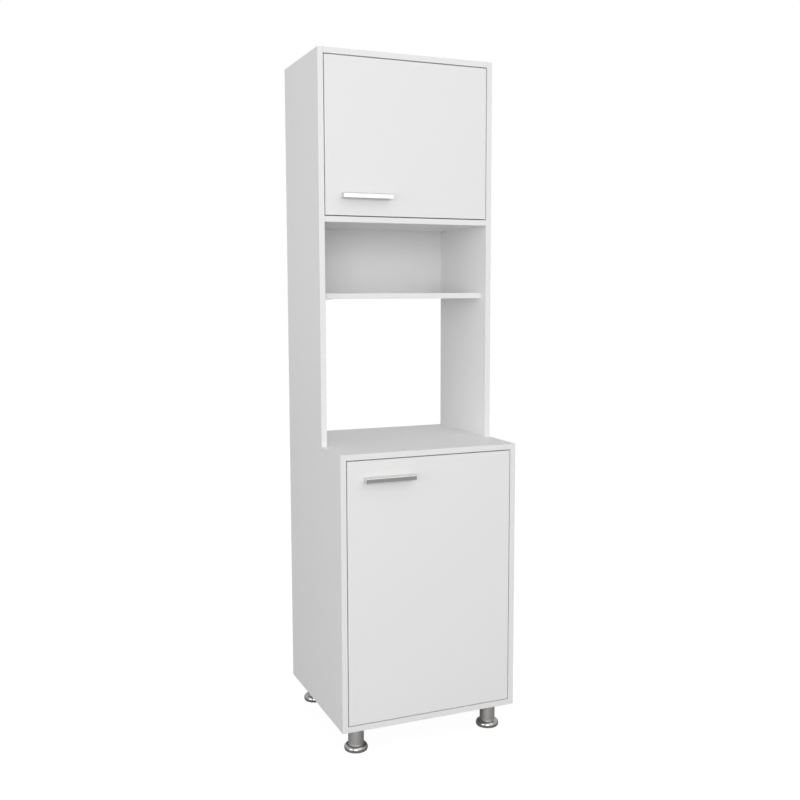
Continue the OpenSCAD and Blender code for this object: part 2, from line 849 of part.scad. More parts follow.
module lower_hinge_arm_screws() {
    color(steel) place() at_lower_hinges() at_arm_screws() arm_screw();
}

module at_upper_hinges() { at_hinges(UPPER_DOOR[0], upper_hinge_z) children(); }
module at_lower_hinges() { at_hinges(LOWER_DOOR[0], lower_hinge_z) children(); }
module at_arm_screws() { for (y = adjust_screw_ys) translate([0, y, 0]) children(); }

// Legs ------------------------------------------------------------------------------------------

// Puts its child under the case at each leg
module at_legs() {
    for (at = leg_places) translate([at[0], at[1], 0]) children();
}

module at_leg_screws() {
    at_legs()
        for (turn = [45 : 90 : 315])
            rotate([0, 0, turn]) translate([leg_screw_ring, 0, 0]) children();
}

// A round plate screwed to the bottom panel, with a spigot that the tube is pressed onto
module leg_flanges() {
    color(nickel) place()
        difference() {
            at_legs() {
                translate([0, 0, -flange_plate_t]) cylinder(d = leg_flange_d, h = flange_plate_t);
                translate([0, 0, -flange_plate_t - leg_spigot_h])
                    cylinder(d = leg_tube_d - 2 * leg_wall, h = leg_spigot_h);
            }
            at_leg_screws()
                translate([0, 0, -flange_plate_t - over])
                    cylinder(d = leg_screw_d, h = flange_plate_t + 2 * over);
        }
}

// Wood screws up into the bottom panel
module leg_screws() {
    color(steel) place()
        at_leg_screws()
            translate([0, 0, -flange_plate_t])
                rotate([180, 0, 0])
                    screw(flange_plate_t + leg_screw_len - screw_end_play, leg_screw_d,
                          leg_head_d, leg_head_h, wood_taper);
}

// Plated tubes from the flange down to the foot
module leg_tubes() {
    tube_h = leg_h - flange_plate_t - foot_h;
    color(nickel) place()
        at_legs()
            translate([0, 0, -flange_plate_t - tube_h])
                difference() {
                    cylinder(d = leg_tube_d, h = tube_h, $fn = 96);
                    translate([0, 0, -over])
                        cylinder(d = leg_tube_d - 2 * leg_wall, h = tube_h + 2 * over, $fn = 96);
                }
}

// Plugs in the tubes' lower ends that the stems screw into
module leg_inserts() {
    color(grey_nylon) place()
        at_legs()
            translate([0, 0, foot_h - leg_h + insert_recess])
                difference() {
                    cylinder(d = leg_tube_d - 2 * leg_wall, h = insert_h);
                    translate([0, 0, -over])
                        cylinder(d = stem_d + 2 * stem_play, h = insert_h + 2 * over);
                }
}

// Half of the foot: its shoulder runs in a quarter circle from the tube's width to the rim, and
// below the rim its side draws in towards the floor
module foot_profile() {
    side_h = foot_h - foot_round - foot_rim_t;
    side_r = (pow(side_h, 2) + pow(foot_tuck, 2)) / (2 * foot_tuck);
    difference() {
        square([foot_d / 2, foot_h]);
        translate([leg_tube_d / 2, foot_h - foot_round])
            difference() {
                square(foot_round + over);
                circle(r = foot_round, $fn = 64);
            }
        difference() {
            translate([foot_d / 2 - 2 * foot_tuck, -over])
                square([2 * foot_tuck + over, side_h + over]);
            translate([foot_d / 2 - side_r, side_h]) circle(r = side_r, $fn = 64);
        }
    }
}

module foot(at) {
    color(nickel) place()
        translate([at[0], at[1], -leg_h])
            difference() {
                rotate_extrude($fn = 96) foot_profile();
                translate([0, 0, stem_root]) cylinder(d = stem_d, h = foot_h);
            }
}

// The threaded stem, fixed in the foot and running in the insert
module stem(at) {
    color(steel) place()
        translate([at[0], at[1], stem_root - leg_h]) {
            cylinder(d = stem_d, h = stem_len - stem_bevel);
            translate([0, 0, stem_len - stem_bevel])
                cylinder(d1 = stem_d, d2 = stem_d - 2 * stem_bevel, h = stem_bevel);
        }
}

module left_front_foot() { foot(leg_places[0]); }
module right_front_foot() { foot(leg_places[1]); }
module left_back_foot() { foot(leg_places[2]); }
module right_back_foot() { foot(leg_places[3]); }
module left_front_stem() { stem(leg_places[0]); }
module right_front_stem() { stem(leg_places[1]); }
module left_back_stem() { stem(leg_places[2]); }
module right_back_stem() { stem(leg_places[3]); }

left_side_panel();
right_side_panel();
top_panel();
upper_floor_panel();
niche_shelf();
worktop();
bottom_panel();
upper_back_panel();
lower_back_panel();
upper_inner_shelf();
lower_inner_shelf();
shelf_pins();
cam_locks();
cam_bolts();
dowels();
cam_caps();
upper_door();
upper_handle();
upper_handle_screws();
upper_hinge_cups();
upper_hinge_cup_pins();
upper_hinge_cup_screws();
upper_hinge_swing_links();
upper_hinge_guide_links();
upper_hinge_arms();
upper_hinge_arm_pins();
upper_hinge_plates();
upper_hinge_plate_screws();
upper_hinge_arm_screws();
lower_door();
lower_handle();
lower_handle_screws();
lower_hinge_cups();
lower_hinge_cup_pins();
lower_hinge_cup_screws();
lower_hinge_swing_links();
lower_hinge_guide_links();
lower_hinge_arms();
lower_hinge_arm_pins();
lower_hinge_plates();
lower_hinge_plate_screws();
lower_hinge_arm_screws();
leg_flanges();
leg_screws();
leg_tubes();
leg_inserts();
left_front_foot();
right_front_foot();
left_back_foot();
right_back_foot();
left_front_stem();
right_front_stem();
left_back_stem();
right_back_stem();
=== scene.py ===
"""The looks of a tall kitchen cabinet for a microwave oven: white melamine boards, nickel-plated
handles and legs, and the fittings that hold it together."""

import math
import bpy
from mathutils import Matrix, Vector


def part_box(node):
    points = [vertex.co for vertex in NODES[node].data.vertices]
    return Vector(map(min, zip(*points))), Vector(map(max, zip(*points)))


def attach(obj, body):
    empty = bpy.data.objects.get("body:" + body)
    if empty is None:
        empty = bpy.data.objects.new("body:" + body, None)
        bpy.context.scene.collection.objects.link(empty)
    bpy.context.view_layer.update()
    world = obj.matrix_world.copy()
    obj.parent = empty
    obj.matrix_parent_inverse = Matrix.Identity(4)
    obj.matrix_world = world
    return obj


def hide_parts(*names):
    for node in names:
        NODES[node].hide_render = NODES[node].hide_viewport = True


bl_info = {
    "name": "Microwave cabinet",
    "version": (1, 0, 0),
    "blender": (4, 5, 0),
    "location": "3D View > Sidebar > Cabinet",
    "description": "Finishes the boards, metal and fittings of a microwave cabinet, and lights it",
    "category": "Object",
}

import bpy
from mathutils import Matrix, Vector

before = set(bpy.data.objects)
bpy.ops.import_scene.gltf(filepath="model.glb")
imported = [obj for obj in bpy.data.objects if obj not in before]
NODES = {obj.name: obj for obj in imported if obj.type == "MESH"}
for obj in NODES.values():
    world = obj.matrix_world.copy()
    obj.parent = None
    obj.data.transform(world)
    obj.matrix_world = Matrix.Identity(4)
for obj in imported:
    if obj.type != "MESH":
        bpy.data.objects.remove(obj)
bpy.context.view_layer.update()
MM = 0.001
WHITE = (1, 1, 1, 1)
LEVELS = ("upper", "lower")
CORNERS = [side + "_" + end for end in ("front", "back") for side in ("left", "right")]
SIDES = ["left_side_panel", "right_side_panel"]
BOARDS_BETWEEN = ["top_panel", "upper_floor_panel", "niche_shelf", "worktop", "bottom_panel"]
LOOSE_SHELVES = [level + "_inner_shelf" for level in LEVELS]
DOORS = [level + "_door" for level in LEVELS]
BACKS = [level + "_back_panel" for level in LEVELS]


def linear(hex_colour):
    """Turns an sRGB hex colour such as #8A8A8A into linear red, green and blue."""
    parts = [int(hex_colour[i : i + 2], 16) / 255 for i in (1, 3, 5)]
    return tuple(c / 12.92 if c <= 0.04045 else ((c + 0.055) / 1.055) ** 2.4 for c in parts)


def add(tree, kind, settings, links):
    """Adds a node with its settings, and links its inputs to other nodes' outputs. A setting's
    key is the name or number of an input, or else the name of one of the node's properties."""
    new = tree.nodes.new(kind)
    for key, value in settings.items():
        if isinstance(key, int) or key in new.inputs:
            new.inputs[key].default_value = value
        else:
            setattr(new, key, value)
    for key, socket in links.items():
        tree.links.new(socket, new.inputs[key])
    return new


def empty_material(name):
    """A new material, and its node tree with no nodes in it."""
    material = bpy.data.materials.new(name)
    material.use_nodes = True
    material.node_tree.nodes.clear()
    return material, material.node_tree


def end_material(tree, settings, colour, rough, height, strength=1.0):
    """Ends a material with a shader of these settings, over a relief whose height is in metres."""
    bump = add(tree, "ShaderNodeBump", {"Strength": strength, "Distance": 1.0},
               {"Height": height}).outputs[0]
    shader = add(tree, "ShaderNodeBsdfPrincipled", settings,
                 {"Base Color": colour, "Roughness": rough, "Normal": bump}).outputs[0]
    add(tree, "ShaderNodeOutputMaterial", {}, {"Surface": shader})


def paint(names, material):
    """Gives these CAD nodes a material."""
    for name in names:
        mesh = NODES[name].data
        mesh.materials.clear()
        mesh.materials.append(material)


# ------------------------------------------------------------------ sizes and colours


class BoardFinish(bpy.types.PropertyGroup):
    """Colours and sizes of the boards' and backs' finish"""

    melamine: bpy.props.FloatVectorProperty(
        name="Melamine", description="White of the boards' faces and edge bands",
        subtype="COLOR", size=3, min=0, max=1, default=linear("#F4F4F4"))
    lacquer: bpy.props.FloatVectorProperty(
        name="Lacquer", description="White of the backs' front face",
        subtype="COLOR", size=3, min=0, max=1, default=linear("#EEEEEE"))
    chip_light: bpy.props.FloatVectorProperty(
        name="Light chips", description="Pale wood chips in the boards' core",
        subtype="COLOR", size=3, min=0, max=1, default=linear("#E0CBAA"))
    chip_dark: bpy.props.FloatVectorProperty(
        name="Dark chips", description="Dark wood chips in the boards' core",
        subtype="COLOR", size=3, min=0, max=1, default=linear("#B39671"))
    fibre: bpy.props.FloatVectorProperty(
        name="Fibreboard", description="Brown of the backs' rear face",
        subtype="COLOR", size=3, min=0, max=1, default=linear("#B8936C"))
    skin: bpy.props.FloatProperty(
        name="Skin", description="Thickness of the faces and edge bands over the core",
        unit="LENGTH", default=0.35 * MM, min=0.1 * MM, max=2 * MM)
    pearl: bpy.props.FloatProperty(
        name="Pearl", description="Width of the low bumps pressed into the melamine",
        unit="LENGTH", default=2.5 * MM, min=0.5 * MM, max=10 * MM)
    chip: bpy.props.FloatProperty(
        name="Chip", description="Width of the chips in the core",
        unit="LENGTH", default=2.2 * MM, min=0.5 * MM, max=10 * MM)


class MetalFinish(bpy.types.PropertyGroup):
    """Colours, roughness and polishing lines of the metal parts"""

    nickel: bpy.props.FloatVectorProperty(
        name="Nickel", description="Colour of the satin nickel plating",
        subtype="COLOR", size=3, min=0, max=1, default=linear("#E1E0DE"))
    # Painted shade: the feet's nickel is darker than the tubes', which dims what the feet reflect
    foot_nickel_painted_shade: bpy.props.FloatVectorProperty(
        name="Feet's nickel", description="Colour of the darker plating on the feet",
        subtype="COLOR", size=3, min=0, max=1, default=linear("#CFCECD"))
    zinc_plate: bpy.props.FloatVectorProperty(
        name="Zinc plating", description="Colour of the plated steel screws, pins and links",
        subtype="COLOR", size=3, min=0, max=1, default=linear("#C4C6CA"))
    die_cast: bpy.props.FloatVectorProperty(
        name="Die-cast zinc", description="Colour of the cam housings",
        subtype="COLOR", size=3, min=0, max=1, default=linear("#B2B3B5"))
    satin: bpy.props.FloatProperty(
        name="Satin", description="Roughness of the plating on the handles",
        subtype="FACTOR", default=0.2, min=0, max=1)
    brushed: bpy.props.FloatProperty(
        name="Brushed", description="Roughness of the plating on the leg tubes",
        subtype="FACTOR", default=0.38, min=0, max=1)
    buffed: bpy.props.FloatProperty(
        name="Buffed", description="Roughness of the plating on the feet",
        subtype="FACTOR", default=0.2, min=0, max=1)
    line: bpy.props.FloatProperty(
        name="Polishing line", description="Width of the lines left by polishing",
        unit="LENGTH", default=0.5 * MM, min=0.1 * MM, max=3 * MM)


class SmallPartFinish(bpy.types.PropertyGroup):
    """Colours of the plastic and wooden parts, and sizes of the threads and nails"""

    beech: bpy.props.FloatVectorProperty(
        name="Beech", description="Colour of the dowels",
        subtype="COLOR", size=3, min=0, max=1, default=linear("#D8B98C"))
    cap: bpy.props.FloatVectorProperty(
        name="Caps", description="White of the plastic caps over the cams",
        subtype="COLOR", size=3, min=0, max=1, default=linear("#E6E6E4"))
    nylon: bpy.props.FloatVectorProperty(
        name="Nylon", description="Grey of the threaded plugs in the legs",
        subtype="COLOR", size=3, min=0, max=1, default=linear("#5A5A5C"))
    thread_pitch: bpy.props.FloatProperty(
        name="Thread pitch", description="Distance between the turns of a stem's thread",
        unit="LENGTH", default=1.5 * MM, min=0.5 * MM, max=3 * MM)
    thread_depth: bpy.props.FloatProperty(
        name="Thread depth", description="Depth of a stem's thread",
        unit="LENGTH", default=0.85 * MM, min=0.3 * MM, max=2 * MM)
    nail_head: bpy.props.FloatProperty(
        name="Nail head", description="Diameter of the heads of the nails in the backs",
        unit="LENGTH", default=3.5 * MM, min=2 * MM, max=6 * MM)
    nail_length: bpy.props.FloatProperty(
        name="Nail length", description="Length of the nails in the backs",
        unit="LENGTH", default=20 * MM, min=12 * MM, max=40 * MM)
    nail_pitch: bpy.props.FloatProperty(
        name="Nail pitch", description="Largest distance between two nails",
        unit="LENGTH", default=0.125, min=0.05, max=0.3)
    nail_margin: bpy.props.FloatProperty(
        name="Nail margin", description="Distance of the last nails from the ends of a row",
        unit="LENGTH", default=25 * MM, min=10 * MM, max=0.1)


class Studio(bpy.types.PropertyGroup):
    """The camera, the lights, the surround and the floor"""

    focal_length: bpy.props.FloatProperty(
        name="Focal length", description="Focal length on a sensor 36 mm wide",
        unit="CAMERA", default=44.979, min=10, max=200)
    camera_place: bpy.props.FloatVectorProperty(
        name="Camera", description="Where the camera stands",
        subtype="TRANSLATION", unit="LENGTH", size=3, default=(-1.06714, -2.55998, 1.20845))
    camera_turn: bpy.props.FloatVectorProperty(
        name="Camera turn", description="The camera's heading, tilt and roll",
        subtype="EULER", unit="ROTATION", size=3,
        default=(math.radians(22.6627), math.radians(-6.1739), math.radians(-0.146)))
    sky: bpy.props.FloatProperty(
        name="Surround", description="Brightness of the surround, where it lights the cabinet",
        default=0.58, min=0, max=10)
    left_front_box: bpy.props.FloatProperty(
        name="Left front softbox", description="Power of the softbox beside the camera",
        unit="POWER", default=94, min=0, max=2000)
    front_box: bpy.props.FloatProperty(
        name="Front softbox", description="Power of the high softbox straight in front",
        unit="POWER", default=14, min=0, max=2000)
    right_box: bpy.props.FloatProperty(
        name="Right softbox", description="Power of the softbox that the upper handle mirrors",
        unit="POWER", default=18, min=0, max=2000)
    high_box: bpy.props.FloatProperty(
        name="High softbox", description="Power of the softbox high over the right front",
        unit="POWER", default=16, min=0, max=2000)
    left_box: bpy.props.FloatProperty(
        name="Left softbox", description="Power of the softbox at the left side",
        unit="POWER", default=60, min=0, max=2000)
    floor_grey: bpy.props.FloatVectorProperty(
        name="Floor", description="How pale the floor is where it lights the cabinet",
        subtype="COLOR", size=3, min=0, max=1, default=linear("#A9A9A9"))
    floor_size: bpy.props.FloatProperty(
        name="Floor size", description="Width of the floor",
        unit="LENGTH", default=24, min=4, max=100)


# ------------------------------------------------------------------ materials


RESIN_IOR = 1.5  # of melamine resin, lacquer, wood and plastic
NOISE_LOW, NOISE_HIGH = 0.3, 0.7  # nearly all of a noise lies between these


def board_material(name, finish, faces, bands):
    """Melamine-faced particleboard: resin-soaked white paper pressed on chips of wood, with ABS
    bands glued round the edges. The paper has a low pearly relief that softens its reflections,
    the bands are smoother, and the bare core shows brown chips wherever the board is cut or
    drilled. faces and bands are (axis, place) of the planes that are covered."""
    # Roughness of the faces where they are handled least and most, of the bands and of the core
    clean, worn, banded, open_core = 0.38, 0.48, 0.33, 0.9
    pearl_height, chip_height = 0.012 * MM, 0.25 * MM
    handled_patch = 110 * MM
    material, tree = empty_material("Melamine-faced particleboard " + name)
    place = add(tree, "ShaderNodeTexCoord", {}, {}).outputs["Object"]
    axes = add(tree, "ShaderNodeSeparateXYZ", {}, {0: place}).outputs
    masks = []
    for planes in (bands, faces + bands):
        mask = None
        for axis, value in planes:
            near = add(tree, "ShaderNodeMath", {"operation": "COMPARE", 1: value,
                       2: finish.skin}, {0: axes[axis]}).outputs[0]
            mask = near if mask is None else add(
                tree, "ShaderNodeMath", {"operation": "MAXIMUM"}, {0: mask, 1: near}).outputs[0]
        masks.append(mask)
    band, covered = masks
    # The pearl of real melamine is about 1 mm wide. It is drawn coarser so that it shows
    pearl = add(tree, "ShaderNodeTexNoise", {"Scale": 1 / finish.pearl, "Detail": 3.0},
                {"Vector": place}).outputs["Fac"]
    # Hands and cloths leave patches about a palm wide that are duller or smoother
    handled = add(tree, "ShaderNodeTexNoise", {"Scale": 1 / handled_patch, "Detail": 4.0},
                  {"Vector": place}).outputs["Fac"]
    chips = add(tree, "ShaderNodeTexVoronoi", {"Scale": 1 / finish.chip, "Randomness": 1.0},
                {"Vector": place}).outputs
    tone = add(tree, "ShaderNodeSeparateColor", {}, {0: chips["Color"]}).outputs[0]
    core = add(tree, "ShaderNodeMix", {"data_type": "RGBA", 6: (*finish.chip_light, 1),
               7: (*finish.chip_dark, 1)}, {0: tone}).outputs[2]
    colour = add(tree, "ShaderNodeMix", {"data_type": "RGBA", 7: (*finish.melamine, 1)},
                 {0: covered, 6: core}).outputs[2]
    face_rough = add(tree, "ShaderNodeMapRange", {"To Min": clean, "To Max": worn},
                     {"Value": handled}).outputs[0]
    skin_rough = add(tree, "ShaderNodeMix", {"data_type": "FLOAT", 3: banded},
                     {0: band, 2: face_rough}).outputs[0]
    rough = add(tree, "ShaderNodeMix", {"data_type": "FLOAT", 2: open_core},
                {0: covered, 3: skin_rough}).outputs[0]
    relief = add(tree, "ShaderNodeMath", {"operation": "MULTIPLY", 1: pearl_height},
                 {0: pearl}).outputs[0]
    cracks = add(tree, "ShaderNodeMath", {"operation": "MULTIPLY", 1: chip_height},
                 {0: tone}).outputs[0]
    height = add(tree, "ShaderNodeMix", {"data_type": "FLOAT"},
                 {0: covered, 2: cracks, 3: relief}).outputs[0]
    end_material(tree, {"IOR": RESIN_IOR}, colour, rough, height)
    return material


def hardboard_material(finish, front):
    """Lacquered hardboard: pressed brown wood fibre with a thin coat of white lacquer on its front
    face. The lacquer is matt and very slightly mottled. The rear face and the edges stay brown,
    with fine dark and light fibres. front is the front face's place along Y."""
    # Fibres are about 0.1 mm thick. They are drawn thicker so that they show
    fibre_length, fibre_width, fibre_height = 4 * MM, 0.8 * MM, 0.03 * MM
    cloud_size = 33 * MM
    lacquer_depth = 0.2 * MM
    # Roughness of the bare fibre and of the lacquer, and how bright the fibres are
    raw, coated = 0.75, 0.5
    darkest, palest = 0.85, 1.15
    material, tree = empty_material("Hardboard, lacquered on one face")
    place = add(tree, "ShaderNodeTexCoord", {}, {}).outputs["Object"]
    axes = add(tree, "ShaderNodeSeparateXYZ", {}, {0: place}).outputs
    lacquered = add(tree, "ShaderNodeMath", {"operation": "COMPARE", 1: front,
                    2: lacquer_depth}, {0: axes[1]}).outputs[0]
    stretched = add(tree, "ShaderNodeMapping", {"Scale": (1 / fibre_length, 1 / fibre_width,
                    1 / fibre_width)}, {"Vector": place}).outputs[0]
    fibres = add(tree, "ShaderNodeTexNoise", {"Scale": 1.0, "Detail": 5.0, "Roughness": 0.7},
                 {"Vector": stretched}).outputs["Fac"]
    clouds = add(tree, "ShaderNodeTexNoise", {"Scale": 1 / cloud_size, "Detail": 4.0},
                 {"Vector": place}).outputs["Fac"]
    both = add(tree, "ShaderNodeMath", {"operation": "ADD"}, {0: fibres, 1: clouds}).outputs[0]
    shade = add(tree, "ShaderNodeMapRange", {"From Min": 2 * NOISE_LOW,
                "From Max": 2 * NOISE_HIGH, "To Min": darkest, "To Max": palest},
                {"Value": both}).outputs[0]
    brown = add(tree, "ShaderNodeVectorMath", {"operation": "SCALE", 0: finish.fibre},
                {3: shade}).outputs[0]
    colour = add(tree, "ShaderNodeMix", {"data_type": "RGBA", 7: (*finish.lacquer, 1)},
                 {0: lacquered, 6: brown}).outputs[2]
    rough = add(tree, "ShaderNodeMix", {"data_type": "FLOAT", 2: raw, 3: coated},
                {0: lacquered}).outputs[0]
    height = add(tree, "ShaderNodeMath", {"operation": "MULTIPLY", 1: fibre_height},
                 {0: both}).outputs[0]
    end_material(tree, {"IOR": RESIN_IOR}, colour, rough, height, strength=0.8)
    return material


def metal_material(name, colour, rough, spread, grain, depth, cloud):
    """A bare or plated metal. Its lines, pits or spangle come from one noise: grain is their
    size along each axis, depth is their height, and the roughness varies with them by spread
    each way. cloud is how much the roughness drifts over some centimetres."""
    cloud_size = 25 * MM
    dulled = 0.9  # how bright the darker lines or spangles stay
    material, tree = empty_material(name)
    place = add(tree, "ShaderNodeTexCoord", {}, {}).outputs["Object"]
    scaled = add(tree, "ShaderNodeMapping", {"Scale": [1 / size for size in grain]},
                 {"Vector": place}).outputs[0]
    lines = add(tree, "ShaderNodeTexNoise", {"Scale": 1.0, "Detail": 4.0, "Roughness": 0.6},
                {"Vector": scaled}).outputs["Fac"]
    drift = add(tree, "ShaderNodeTexNoise", {"Scale": 1 / cloud_size, "Detail": 2.0},
                {"Vector": place}).outputs["Fac"]
    fine = add(tree, "ShaderNodeMapRange", {"From Min": NOISE_LOW, "From Max": NOISE_HIGH,
               "To Min": rough - spread, "To Max": rough + spread}, {"Value": lines}).outputs[0]
    cloudy = add(tree, "ShaderNodeMath", {"operation": "MULTIPLY_ADD", 1: cloud},
                 {0: drift, 2: fine}).outputs[0]
    dark = tuple(dulled * c for c in colour)
    tint = add(tree, "ShaderNodeMix", {"data_type": "RGBA", 6: (*dark, 1), 7: (*colour, 1)},
               {0: lines}).outputs[2]
    height = add(tree, "ShaderNodeMath", {"operation": "MULTIPLY", 1: depth},
                 {0: lines}).outputs[0]
    end_material(tree, {"Metallic": 1.0}, tint, cloudy, height)
    return material


def plain_material(name, colour, rough, grain, depth, variation):
    """Moulded plastic or turned wood: one colour that is darker by up to variation, with a fine
    grain of this size along each axis and this depth. Its roughness varies by spread each way."""
    spread = 0.08
    material, tree = empty_material(name)
    place = add(tree, "ShaderNodeTexCoord", {}, {}).outputs["Object"]
    scaled = add(tree, "ShaderNodeMapping", {"Scale": [1 / size for size in grain]},
                 {"Vector": place}).outputs[0]
    noise = add(tree, "ShaderNodeTexNoise", {"Scale": 1.0, "Detail": 4.0},
                {"Vector": scaled}).outputs["Fac"]
    dark = tuple(c * (1 - variation) for c in colour)
    tint = add(tree, "ShaderNodeMix", {"data_type": "RGBA", 6: (*dark, 1), 7: (*colour, 1)},
               {0: noise}).outputs[2]
    uneven = add(tree, "ShaderNodeMapRange", {"To Min": rough - spread,
                 "To Max": rough + spread}, {"Value": noise}).outputs[0]
    height = add(tree, "ShaderNodeMath", {"operation": "MULTIPLY", 1: depth},
                 {0: noise}).outputs[0]
    end_material(tree, {"IOR": RESIN_IOR}, tint, uneven, height)
    return material


# ------------------------------------------------------------------ pieces


LINE_STRETCH = 60  # a polishing line's length in its own widths


class CABINET_OT_boards(bpy.types.Operator):
    """Finish the case boards, the loose shelves and the doors"""

    bl_idname = "cabinet.boards"
    bl_label = "Boards and doors"

    def execute(self, context):
        finish = context.scene.cabinet_boards
        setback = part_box("upper_floor_panel")[0].y
        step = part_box("worktop")[1].z
        for name in SIDES + BOARDS_BETWEEN + LOOSE_SHELVES + DOORS:
            low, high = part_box(name)
            ends = {axis: [(axis, low[axis]), (axis, high[axis])] for axis in range(3)}
            if name in SIDES:
                # The upper part is less deep, and the two edges of the step are banded too
                faces = ends[0]
                bands = [(1, low.y), (1, setback), (2, step), (2, high.z)]
            elif name in DOORS:
                faces, bands = ends[1], ends[0] + ends[2]
            else:
                faces, bands = ends[2], [(1, low.y)]
            paint([name], board_material(name, finish, faces, bands))
        return {"FINISHED"}


class CABINET_OT_backs(bpy.types.Operator):
    """Finish the two backs"""

    bl_idname = "cabinet.backs"
    bl_label = "Backs"

    def execute(self, context):
        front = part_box(BACKS[0])[0].y
        paint(BACKS, hardboard_material(context.scene.cabinet_boards, front))
        return {"FINISHED"}


class CABINET_OT_handles(bpy.types.Operator):
    """Finish the handles with satin nickel plating, polished along their length"""

    bl_idname = "cabinet.handles"
    bl_label = "Handles"

    def execute(self, context):
        finish = context.scene.cabinet_metal
        width, length = finish.line, LINE_STRETCH * finish.line
        # Satin nickel over polished zinc: soft, slightly warm reflections, drawn out along the
        # bar by lines that are really 0.05 mm wide and are drawn coarser so that they show
        paint([level + "_handle" for level in LEVELS], metal_material(
            "Satin nickel plating, polished lengthways", finish.nickel, rough=finish.satin,
            spread=0.05, grain=(length, width, width), depth=0.0015 * MM, cloud=0.04))
        return {"FINISHED"}


class CABINET_OT_hinges(bpy.types.Operator):
    """Finish the concealed hinges and every screw, pin and bolt"""

    bl_idname = "cabinet.hinges"
    bl_label = "Hinges and screws"

    def execute(self, context):
        finish = context.scene.cabinet_metal
        # Pressed steel strip with dull nickel plating: an even, soft shine with no direction
        pressed = metal_material(
            "Nickel-plated pressed steel", finish.nickel, rough=0.3, spread=0.04,
            grain=3 * [1.1 * MM], depth=0.002 * MM, cloud=0.05)
        # Zinc plating on steel wire and screws: bluish grey, shiny and finely mottled
        plated = metal_material(
            "Zinc-plated steel", finish.zinc_plate, rough=0.34, spread=0.08,
            grain=3 * [0.7 * MM], depth=0.004 * MM, cloud=0.06)
        steel = ["leg_screws", "cam_bolts"]
        nickel = ["shelf_pins"]
        for level in LEVELS:
            nickel += [level + "_hinge_" + part for part in ("cups", "arms", "plates")]
            steel += [level + "_hinge_" + part for part in (
                "cup_pins", "cup_screws", "swing_links", "guide_links", "arm_pins",
                "plate_screws", "arm_screws")]
            steel.append(level + "_handle_screws")
        paint(nickel, pressed)
        paint(steel, plated)
        return {"FINISHED"}


class CABINET_OT_connectors(bpy.types.Operator):
    """Finish the cam housings, dowels, caps and the plugs in the legs"""

    bl_idname = "cabinet.connectors"
    bl_label = "Connectors and plastic parts"

    def execute(self, context):
        metal, small = context.scene.cabinet_metal, context.scene.cabinet_small
        # Zinc die casting as it leaves the mould: grey, dull, with a skin like fine orange peel
        paint(["cam_locks"], metal_material(
            "Die-cast zinc", metal.die_cast, rough=0.45, spread=0.08, grain=3 * [1.4 * MM],
            depth=0.015 * MM, cloud=0.1))
        # Beech rod, turned and fluted: pale tan, with short darker flecks along the grain
        paint(["dowels"], plain_material(
            "Beech, turned and fluted", small.beech, rough=0.7,
            grain=(10 * MM, 1.2 * MM, 1.2 * MM), depth=0.05 * MM, variation=0.35))
        # Injection-moulded polythene: a soft, nearly matt white
        paint(["cam_caps"], plain_material(
            "Polythene, moulded", small.cap, rough=0.45, grain=3 * [0.8 * MM],
            depth=0.006 * MM, variation=0.04))
        # Glass-filled nylon: dark grey, matt, with a faint grain from the mould
        paint(["leg_inserts"], plain_material(
            "Nylon, moulded", small.nylon, rough=0.55, grain=3 * [0.7 * MM],
            depth=0.012 * MM, variation=0.12))
        return {"FINISHED"}


class CABINET_OT_legs(bpy.types.Operator):
    """Finish the flanges and tubes with brushed nickel plating, and the feet with buffed"""

    bl_idname = "cabinet.legs"
    bl_label = "Legs"

    def execute(self, context):
        finish = context.scene.cabinet_metal
        width, length = finish.line, LINE_STRETCH * finish.line
        # The same plating over drawn steel tube: its lines run up the leg, and it is brushed
        # duller than the handles, so it takes an even grey from the floor and the room
        paint(["leg_flanges", "leg_tubes"], metal_material(
            "Satin nickel plating, brushed", finish.nickel, rough=finish.brushed,
            spread=0.05, grain=(width, width, length), depth=0.0015 * MM, cloud=0.04))
        # The same nickel plating over turned steel, its colour darker than the tubes' as painted
        # shade: its lines run round the foot, and its belly is buffed, so it is grey with small
        # sharp highlights
        paint([corner + "_foot" for corner in CORNERS], metal_material(
            "Nickel plating, turned and buffed", finish.foot_nickel_painted_shade, rough=finish.buffed,
            spread=0.03, grain=(length, length, width), depth=0.001 * MM, cloud=0.03))
        return {"FINISHED"}


class CABINET_OT_stems(bpy.types.Operator):
    """Cut the threads of the feet's stems, in place of the plain rods"""

    bl_idname = "cabinet.stems"
    bl_label = "Threaded stems"

    def execute(self, context):
        finish, small = context.scene.cabinet_metal, context.scene.cabinet_small
        # Rolled thread, zinc plated: the flanks are smooth and the crests catch the light
        steel = metal_material(
            "Zinc-plated steel, rolled thread", finish.zinc_plate, rough=0.3, spread=0.05,
            grain=3 * [0.7 * MM], depth=0.002 * MM, cloud=0.05)
        for corner in CORNERS:
            node = corner + "_stem"
            stem = threaded_rod(corner + "_threaded_stem", *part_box(node), small)
            stem.data.materials.append(steel)
            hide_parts(node)
            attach(stem, corner + "_foot")
        return {"FINISHED"}


